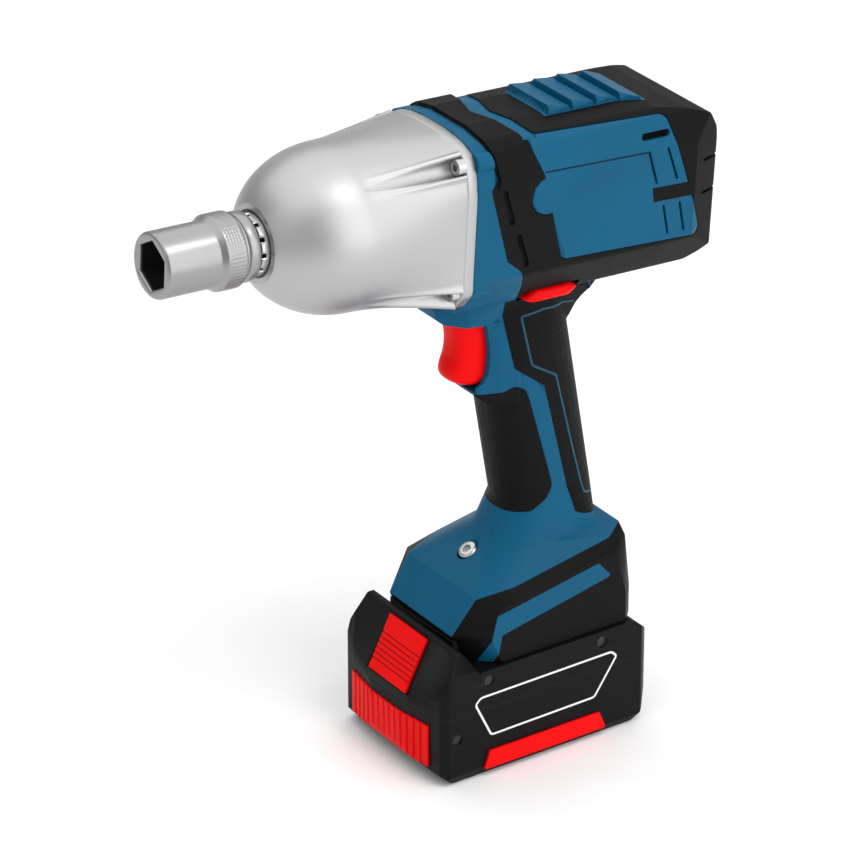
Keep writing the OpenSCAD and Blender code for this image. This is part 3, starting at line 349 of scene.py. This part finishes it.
def hammer_case_shell(columns=480):
    """The hammer case: rings round the drive axis whose radius goes from the dome's ellipse to the flange's
    rounded outline. At each diagonal a round well, as deep as the screw line is inside the ring, runs
    between two low ribs. The points of a ring stand closer towards the diagonals."""
    angle = turns(columns)
    angle = angle + RING_GATHER * np.sin(4 * angle)
    right = np.array([
        [12, BODY_TOP], [24, BODY_TOP - 2.5], [29.5, BODY_TOP - 6], [BODY_W / 2, BODY_TOP - CREASE_DROP],
        [BODY_W / 2, -FLANGE_LOW + 8], [BODY_W / 2 - 6.5, -FLANGE_LOW],
    ])
    flange = outline_radius(np.concatenate([right, right[::-1] * [-1, 1]]), angle, 60.0)
    dome_x = -CASE_LEN + DOME_LEN * DOME_SHARE
    lean = np.arcsin((CASE_LEN + dome_x) / DOME_LEN) * np.linspace(1, 0, 40)
    dome = np.repeat((CASE_R * np.cos(lean))[:, None], columns, 1)
    x = np.linspace(dome_x, -FLANGE_T, 60)[1:]
    grow = ((x - dome_x) / (-FLANGE_T - dome_x))[:, None]
    taper = CASE_R + (flange[None] - RIM_INSET - CASE_R) * grow ** TAPER_POWER
    screw_line = SCREW_PITCH / math.sqrt(2)
    off = angle % (math.pi / 2) - math.pi / 4
    side = np.abs(screw_line * np.sin(off))[None]
    rib = RIB_H * grow * np.exp(-(((side - SCREW_WELL - RIB_OFF) / RIB_W) ** 2))
    well = screw_line * np.cos(off)[None] - np.sqrt(np.maximum(SCREW_WELL ** 2 - side ** 2, 0.0))
    taper = np.where(side < SCREW_WELL, np.minimum(taper, well), taper + rib)
    rim = [
        (-FLANGE_T, -RIM_INSET), (-4.85, -0.25), (-4.55, -0.08), (-4.2, 0.0), (-0.4, 0.0), (-0.1, -0.2),
        (0.0, -0.6),
    ]
    inner = [
        (0.0, CASE_BORE), (HAMMER_FRONT + 4, CASE_BORE), (HAMMER_FRONT - 1, 30.5), (WING_FRONT - 2, 28.0),
        (WING_FRONT - 2, BUSH_R), (-CASE_LEN, BUSH_R), (-CASE_LEN, 15.9), (-CASE_LEN + 0.1, 16.3),
    ]
    edge = [flange[None] + out for _, out in rim]
    bore = [np.full((1, columns), r) for _, r in inner]
    radius = np.concatenate([dome, taper] + edge + bore)
    along = np.concatenate([dome_x - DOME_LEN * np.sin(lean), x, [place for place, _ in rim + inner]])
    surface("hammer_case_shell", [rings(along, radius, angle)], FINISHES["cast_case"], "tool",
            ("hammer_case",), (True, True), 50.0)


def hex_socket(columns=360):
    """The socket: rings round the drive axis on a stepped profile, with a knurl of two crossed waves on the
    rear band, and a hexagonal mouth, whose radius is that of the six-sided outline. The mouth's lining is a
    piece of its own, in a near-black steel that is painted shade inside the hole."""
    angle = turns(columns)
    hexagon = hexagon_radius(HEXAGON / math.sqrt(3), math.pi / 2, angle, 120.0)
    front = SOCKET_BACK - SOCKET_LEN
    back = [
        (-SQUARE_DEEP, 0.0), (-SQUARE_DEEP, SQUARE_R), (0.0, SQUARE_R), (0.0, 13.9), (-0.25, 14.5),
        (-0.7, 14.8), (-4.7, 14.8), (-5.1, 14.5), (-5.4, 14.0), (-6.8, 14.0), (-7.0, 15.2), (-7.3, 15.8),
        (-7.7, SOCKET_REAR_R),
    ]
    band = [(-8.2 - 0.35 * k, SOCKET_REAR_R) for k in range(22)]
    nose = [
        (-16.2, SOCKET_REAR_R), (-16.7, 15.7), (-18.2, 14.3), (-18.8, SOCKET_R),
        (-SOCKET_LEN + 1.4, SOCKET_R), (-SOCKET_LEN + 0.5, 13.7), (-SOCKET_LEN + 0.1, 13.2),
        (-SOCKET_LEN, 12.8),
    ]
    profile = np.array(back + band + nose)
    depth = profile[:, :1] + SOCKET_BACK
    slant = KNURL_SLANT * depth
    knurl = KNURL_H * np.cos(KNURL_COUNT * angle + slant) * np.cos(KNURL_COUNT * angle - slant)
    banded = (profile[:, :1] < -8.4) & (profile[:, :1] > -15.4)
    radius = np.repeat(profile[:, 1:], columns, 1) + np.where(banded, knurl, 0.0)
    mouth = [(front, 0.9), (front + 0.25, 0.35), (front + 0.9, 0.0), (front + 2.0, -0.02)]
    radius = np.concatenate([radius] + [hexagon[None] + out for _, out in mouth])
    along = np.concatenate([depth[:, 0], [place for place, _ in mouth]])
    floor = front + HEXAGON_DEEP
    bore = [(front + 1.6, 0.1), (front + 1.6, 0.0), (floor - 0.4, 0.0), (floor, -0.4)]
    wall = np.concatenate([hexagon[None] + out for _, out in bore] + [np.full((1, columns), 1e-4)])
    lining = rings([place for place, _ in bore] + [floor], wall, angle)
    surface("hex_socket", [rings(along, radius, angle)], FINISHES["socket_chrome"], "socket",
            ("socket",), sharp=45.0)
    surface("socket_mouth", [lining], MOUTH_SHADE_STEEL, "socket", sharp=45.0)


def collar_notch_shade(columns=96):
    """Painted shade in the collar's notches: a thin dark ring round the drive axis, on a square profile, that
    shows only between the teeth and round the collar's bore."""
    inner, outer = ANVIL_R + 0.8, ANVIL_R + NOTCH_FLOOR + 0.05
    front, back = COLLAR_FRONT - 0.03, COLLAR_FRONT + NOTCH_DEPTH + 0.1
    profile = np.array([(front, inner), (front, outer), (back, outer), (back, inner)])
    ring = rings(profile[:, 0], np.repeat(profile[:, 1:], columns, 1), turns(columns))
    surface("collar_notch_shade", [ring], SLOT_SHADE, "tool", wrap=(True, True))


def trigger_blade(rows=48, columns=72):
    """The trigger: at each height a rounded section from the front curve to the rear, narrowed near its
    lower lip by a quarter ellipse and, towards its top, slanted up to the front. A round stem runs back
    from it."""
    height = np.array([0, -4, -9, -14, -18, -20.5, -22.5, -24.5, -26.5, -28, -TRIGGER_H])
    front = np.array([-TRIGGER_REACH, -23.2, -22.5, -23.4, -25.2, -25.9, -25.7, -24.4, -21.5, -17.5, -11.0])
    z = -TRIGGER_H * np.sin(np.linspace(0, math.pi / 2, rows))
    x0 = np.interp(z, height[::-1], front[::-1])
    for _ in range(3):
        x0[1:-1] = (x0[:-2] + 2 * x0[1:-1] + x0[2:]) / 4
    fall = np.clip((-z - LIP_TOP) / (TRIGGER_H - LIP_TOP), 0, 1)
    half = TRIGGER_W / 2 * np.sqrt(1 - LIP_NARROW * fall ** 2)
    turn = turns(columns)
    c, s = np.cos(turn), np.sin(turn)
    bend = np.where(c > 0, 2 / FRONT_ROUND, 2 / REAR_ROUND)
    x = x0[:, None] / 2 * (1 + np.sign(c) * np.abs(c) ** bend)[None]
    y = half[:, None] * (np.sign(s) * np.abs(s) ** bend)[None]
    slope = TRIGGER_RISE[0] - (TRIGGER_RISE[0] - TRIGGER_RISE[1]) * (x / TRIGGER_REACH + 1)
    rise = slope * np.clip(1 + z / RISE_DEEP, 0, 1)[:, None]
    body = np.stack([TRIGGER_REAR + x, y, TRIGGER_TOP + z[:, None] + rise], -1)
    places = np.array([(-1.0, 0.0), (-1.0, STEM_R), (STEM_LEN, STEM_R), (STEM_LEN, 0.0)])
    along, radius = places[:, :1], places[:, 1:]
    stem = np.stack([TRIGGER_REAR + along + 0 * turn, radius * c, TRIGGER_TOP - STEM_LOW + radius * s], -1)
    surface("trigger_blade", [capped(body) * MM, stem * MM], FINISHES["red_plastic"], "trigger",
            ("trigger",), sharp=60.0)


def path_points(corners, bend, closed, step=0.6):
    """A path through corner points with each corner eased: points at even steps, each the mean of the path
    over the length of bend round it."""
    ends = np.concatenate([corners, corners[:1]]) if closed else corners
    gone = np.concatenate([[0], np.cumsum(np.linalg.norm(np.diff(ends, axis=0), axis=1))])
    at = np.linspace(0, gone[-1], int(gone[-1] / step))
    at = at[:-1] if closed else at
    near = at[:, None] + np.linspace(-bend / 2, bend / 2, 15)[None]
    near = near % gone[-1] if closed else np.clip(near, 0, gone[-1])
    return np.stack([np.interp(near, gone, ends[:, k]).mean(1) for k in range(2)], -1)


def strip(name, path, closed, lift, width, thick, side, finish, body):
    """A flat strip carried along a path on a side face: at each point an oval section, wide along the face
    and thin across it. lift gives the face's distance from the middle plane at each point."""
    ahead = (np.roll(path, -1, 0) - np.roll(path, 1, 0)) if closed else np.gradient(path, axis=0)
    across = np.stack([-ahead[:, 1], ahead[:, 0]], -1) / np.linalg.norm(ahead, axis=1)[:, None]
    turn = turns(10)
    flat = path[:, None] + across[:, None] * (width / 2 * np.cos(turn))[None, :, None]
    out = lift(flat[..., 0], flat[..., 1]) + thick * np.sin(turn)[None]
    grid = np.stack([flat[..., 0], side * out, flat[..., 1]], -1)
    grid = grid if closed else capped(grid)
    surface(name, [grid * MM], finish, body, (), (closed, True), 70.0)


def handle_side(x, z):
    """Half width of the handle at a place seen from the side: its flattened oval with a flare above the
    foot, or the yoke's taper where that is wider."""
    lean = math.radians(HANDLE_LEAN)
    along = (x - HANDLE_AT[0]) * math.cos(lean) + (z - HANDLE_AT[1]) * math.sin(lean)
    inside = np.clip(1 - np.abs(along / (HANDLE_D / 2)) ** (2 / HANDLE_ROUND), 0.0, 1.0)
    flare = np.minimum(FLARE_CURVE * np.maximum(FLARE_TOP - z, 0.0) ** 2, FLARE_MAX)
    oval = HANDLE_W / 2 * inside ** (HANDLE_ROUND / 2) + flare
    plan = np.interp(x, [-37, -24, -12, 24, 44, 66], [6, 14, 19, 19, 13, 9])
    taper = np.interp(z - TRIGGER_TOP, [-18, -6, 3, 14], [4, 10, 13, 19])
    return np.maximum(oval, np.where(z > TRIGGER_TOP - 15, np.minimum(plan, taper), 0.0))


def panel_side(x, z):
    """Half width of the barrel at a place seen from the side: upright up to its crease, then leaning in."""
    turn = math.radians(NOSE_UP)
    up = (x - JOINT_X) * math.sin(turn) + (z - AXIS_H) * math.cos(turn)
    return BODY_W / 2 - CREASE_LEAN * np.maximum(up - BODY_TOP + CREASE_DROP, 0.0)


def slot_floor(x, z):
    """Half width of the barrel at the floor of the panel's slot."""
    return panel_side(x, z) - SLOT_DEEP


def pack_side(x, z):
    """Half width of the pack, the same all over its flat side."""
    return PACK_W / 2 + 0 * x


def foot_screw_head(columns=72):
    """The screw in the foot: rings round an axis that leans forward with the flare, from the floor of a
    six-sided recess out over a rounded head and down a plain shank."""
    angle = turns(columns)
    recess = hexagon_radius(FOOT_RECESS_R, 0.0, angle, 80.0)
    profile = np.array([
        (3.3, 0.1), (3.7, -0.05), (4.1, -0.35), (4.35, -0.8), (4.4, -1.3), (4.4, -3.2), (2.0, -3.2),
        (2.0, -9.0), (0.001, -9.0),
    ])
    hollow = [np.full((1, columns), 0.001), recess[None], recess[None]]
    radius = np.concatenate(hollow + [np.repeat(profile[:, :1], columns, 1)])
    up = np.concatenate([[-1.8, -1.8, 0.1], profile[:, 1]])[:, None]
    lean = math.radians(FOOT_SCREW_LEAN)
    x, y = radius * np.cos(angle), radius * np.sin(angle)
    grid = np.stack([
        FOOT_SCREW_AT[0] + x * math.cos(lean) - up * math.sin(lean),
        y,
        FOOT_SCREW_AT[1] + x * math.sin(lean) + up * math.cos(lean),
    ], -1) * MM
    surface("foot_screw_head", [grid], FINISHES["screw_steel"], "tool", ("foot_screw",))


def direction_lever(rows=41):
    """The direction switch: its rounded outline carried across the housing and drawn in at both ends, by
    the cube root of one less the cube of the way into the end, so that each end is a cushion."""
    half, rise = SWITCH_L / 2, SWITCH_H / 2
    corners = np.array([
        [-half, -0.8], [-half + 3, -rise], [half - 4, -rise],
        [half, 0.2], [half - 5, rise], [-half + 6, rise],
    ])
    outline = path_points(corners, 3.4, True, 0.5)[None]
    y = SWITCH_REACH * np.sin(np.linspace(-math.pi / 2, math.pi / 2, rows))[:, None]
    end = np.clip((np.abs(y) - SWITCH_REACH + SWITCH_END) / SWITCH_END, 0, 1)
    scale = (1 - 0.97 * end ** 3) ** (1 / 3.0)
    grid = on_drive(SWITCH_AT[0] + scale * outline[..., 0], y, SWITCH_AT[1] + scale * outline[..., 1])
    surface("direction_lever", [capped(grid)], FINISHES["red_plastic"], "direction_switch",
            ("direction_switch",), sharp=60.0)


BODY_OF = {
    "tool": ["left_housing", "right_housing", "left_body_overmould", "right_body_overmould",
             "left_front_grip", "right_front_grip", "left_rear_grip", "right_rear_grip",
             "left_foot_bumper", "right_foot_bumper", "housing_screws", "case_screws", "nose_collar"],
    "output": ["anvil"],
    "battery": ["pack_lower_case", "pack_upper_case", "pack_bumper", "pack_side_bars", "pack_screws"],
    "release_button": ["release_button"],
}
OWN_FINISH = {
    "left_rear_grip": GRIP_RUBBER,
    "right_rear_grip": GRIP_RUBBER,
    "nose_collar": FINISHES["screw_steel"],
    # the anvil shows only behind the collar's teeth, near-black as painted shade
    "anvil": MOUTH_SHADE_STEEL,
}
CREASED = ("left_housing", "right_housing", "left_body_overmould", "right_body_overmould")
for body, names in BODY_OF.items():
    for node in names:
        smoothed(node, body, SHELL_SHARP if node in CREASED else SKIN_SHARP, OWN_FINISH.get(node))
direction_lever()
foot_screw_head()
hammer_case_shell()
hex_socket()
collar_notch_shade()
trigger_blade()

# Strips on both sides: their corners seen from the side, how far a corner is eased, whether the path
# closes, the face they lie on, their width and thickness, and their finish, body and slot
PANEL_LINE = on_drive(np.array([33.4, 86.6]), np.zeros(2), np.array([19.4, 18.2]))[:, [0, 2]] / MM
VENT_SLOT = on_drive(np.array([84.0, 97.5]), np.zeros(2), np.array([24.5, 24.5]))[:, [0, 2]] / MM
GRIP_INLAY = np.array([
    [31.5, 200.4], [12.6, 203.3], [0.9, 202.6], [6.6, 178.4], [19.2, 170.4], [28.7, 133.2], [35.4, 109.0],
    [40.5, 107.0],
])
LABEL_OUTLINE = np.array([
    [-36.2, 36.5], [-33.6, 39.2], [35.5, 39.8], [38.3, 37.1], [26.6, 20.0], [-27.9, 19.3],
])
STRIPS = {
    # the panel line is painted shade of a seam, not a groove in the shape
    "_panel_line": (PANEL_LINE, 1.0, False, panel_side, 0.7, 0.12, SEAM_SHADE_BLUE, "tool", "blue_shell"),
    # the vent slot's strip is painted shade on the slot's floor
    "_vent_slot": (VENT_SLOT, 1.0, False, slot_floor, 3.1, 0.2, SLOT_SHADE, "tool", "inner_plastic"),
    "_grip_inlay": (GRIP_INLAY, 2.4, False, handle_side, 1.0, 0.22, INLAY_BLUE, "tool", "blue_shell"),
    "_label_outline": (LABEL_OUTLINE, 2.4, True, pack_side, 1.0, 0.14, LABEL_WHITE,
                       "battery", "black_plastic"),
}
for side, word in ((-1, "left"), (1, "right")):
    for name, (corners, bend, closed, lift, width, thick, finish, body, slot) in STRIPS.items():
        path = path_points(corners, bend, closed)
        strip(word + name, path, closed, lift, width, thick, side, finish, body)


# Stage, lights and camera


def stage_floor(size=6.0, bend=0.8):
    """A pale floor that rises behind the object: a strip in x carried along a profile in depth and height,
    level at first, then a quarter circle, then upright."""
    across = np.linspace(-1.0, 1.0, 9)
    t = np.linspace(0.0, 1.0, 60)
    lean = np.clip((t - 0.5) * 8, 0, 1) * math.pi / 2
    depth = np.where(t < 0.5, -size + 3.0 * size * t, size * 0.5 + bend * np.sin(lean))
    height = bend * (1 - np.cos(lean)) + np.maximum(t - 0.625, 0) * 8 * size
    x, d = np.meshgrid(across * size * 1.5, depth)
    z = np.repeat(height[:, None], len(across), axis=1)
    turn = math.radians(-CAMERA_TURN[2])
    c, s = math.cos(turn), math.sin(turn)
    points = np.stack([x * c + d * s, -x * s + d * c, z], -1)
    faces = quads(np.arange(x.size).reshape(x.shape))
    mesh = bpy.data.meshes.new("floor")
    mesh.from_pydata(points.reshape(-1, 3).tolist(), [], faces.tolist())
    mesh.shade_smooth()
    floor = bpy.data.objects.new("floor", mesh)
    bpy.context.scene.collection.objects.link(floor)
    floor.data.materials.append(grained("pale_floor", (0.92, 0.92, 0.92), 0.8, 60.0, 0.00002, 0.01))


def softbox(name, at, towards, size, power):
    """A square area light at a point, aimed at another, its size in metres and its power in watts."""
    light = bpy.data.lights.new(name, "AREA")
    light.size = size
    light.energy = power
    box = bpy.data.objects.new(name, light)
    box.location = at
    aim = np.array(towards) - np.array(at)
    flat = math.hypot(aim[0], aim[1])
    box.rotation_euler = (math.atan2(flat, -aim[2]), 0.0, math.atan2(aim[1], aim[0]) - math.pi / 2)
    bpy.context.scene.collection.objects.link(box)


stage_floor()
softbox("side", at=(0.5, -1.7, 0.9), towards=(0, 0, 0.15), size=2.0, power=22.0)
softbox("top", at=(0.1, 0.3, 1.9), towards=(0, 0, 0.0), size=3.4, power=40.0)
softbox("shoulder", at=(0.2, -0.65, 1.55), towards=(0, 0, 0.25), size=0.4, power=3.0)
softbox("nose", at=(-1.4, -0.2, 0.9), towards=(0, 0, 0.2), size=1.2, power=2.0)

world = bpy.data.worlds.new("studio")
world.use_nodes = True
backdrop = world.node_tree.nodes["Background"]
backdrop.inputs["Color"].default_value = (1.0, 1.0, 1.0, 1.0)
backdrop.inputs["Strength"].default_value = 0.5
bpy.context.scene.world = world
bpy.context.scene.view_settings.view_transform = "Standard"

lens = bpy.data.cameras.new("camera")
lens.sensor_width = SENSOR
lens.lens = FOCAL_PIXELS / FRAME_PIXELS * SENSOR
lens.clip_end = 50.0
camera = bpy.data.objects.new("camera", lens)
camera.location = CAMERA_AT
camera.rotation_euler = tuple(math.radians(a) for a in CAMERA_TURN)
bpy.context.scene.collection.objects.link(camera)
bpy.context.scene.camera = camera
